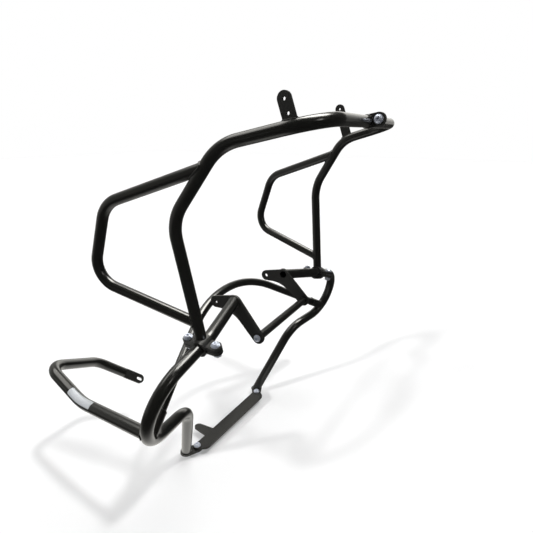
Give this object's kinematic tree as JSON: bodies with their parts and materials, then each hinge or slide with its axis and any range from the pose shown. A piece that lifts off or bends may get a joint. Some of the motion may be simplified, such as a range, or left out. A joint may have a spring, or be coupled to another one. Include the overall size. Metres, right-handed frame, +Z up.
{
  "type": "motorcycle crash bars",
  "caption": "Tubular engine guard for a flat-twin motorcycle, with side loops, clamps, engine plates, a sump strap and a rear foot loop on one side.",
  "frame": {"origin": "midway between the rear lug holes of the two engine plates, on the axis of the bolt that goes through both", "axes": "+X to the front of the motorcycle, +Y to its left side, +Z up"},
  "size_m": [0.7348, 0.9062, 0.9497],
  "materials": {
    "tube_black": "gloss black powder coat",
    "plate_black": "satin black powder coat",
    "zinc": "zinc-plated steel"
  },
  "bodies": {
    "root": {"upper_bar_right": "tube_black", "upper_bar_left": "tube_black", "side_loop_right": "tube_black", "side_loop_left": "tube_black", "joint_lug_right": "plate_black", "joint_lug_left": "plate_black", "joint_bolt": "zinc", "joint_washers": "zinc", "joint_nut": "zinc", "fairing_tab_right": "plate_black", "fairing_tab_left": "plate_black", "clamp_shell_right": "plate_black", "clamp_shell_left": "plate_black", "clamp_cap_right": "plate_black", "clamp_cap_left": "plate_black", "clamp_bolts_right": "zinc", "clamp_bolts_left": "zinc", "clamp_washers_right": "zinc", "clamp_washers_left": "zinc", "clamp_nuts_right": "zinc", "clamp_nuts_left": "zinc", "engine_plate_right": "plate_black", "engine_plate_left": "plate_black", "lower_bar_right": "tube_black", "lower_bar_left": "tube_black", "foot_plate_right": "plate_black", "foot_plate_left": "plate_black", "sump_strap": "plate_black", "strap_bolts": "zinc", "strap_washers": "zinc", "strap_nuts": "zinc", "arch_tube": "tube_black", "arch_sleeve_right": "tube_black", "arch_sleeve_left": "tube_black", "spacer_tube": "tube_black", "spacer_bolts": "zinc", "spacer_washers": "plate_black", "guard_loop": "tube_black", "guard_lug": "plate_black"}
  },
  "joints": []
}
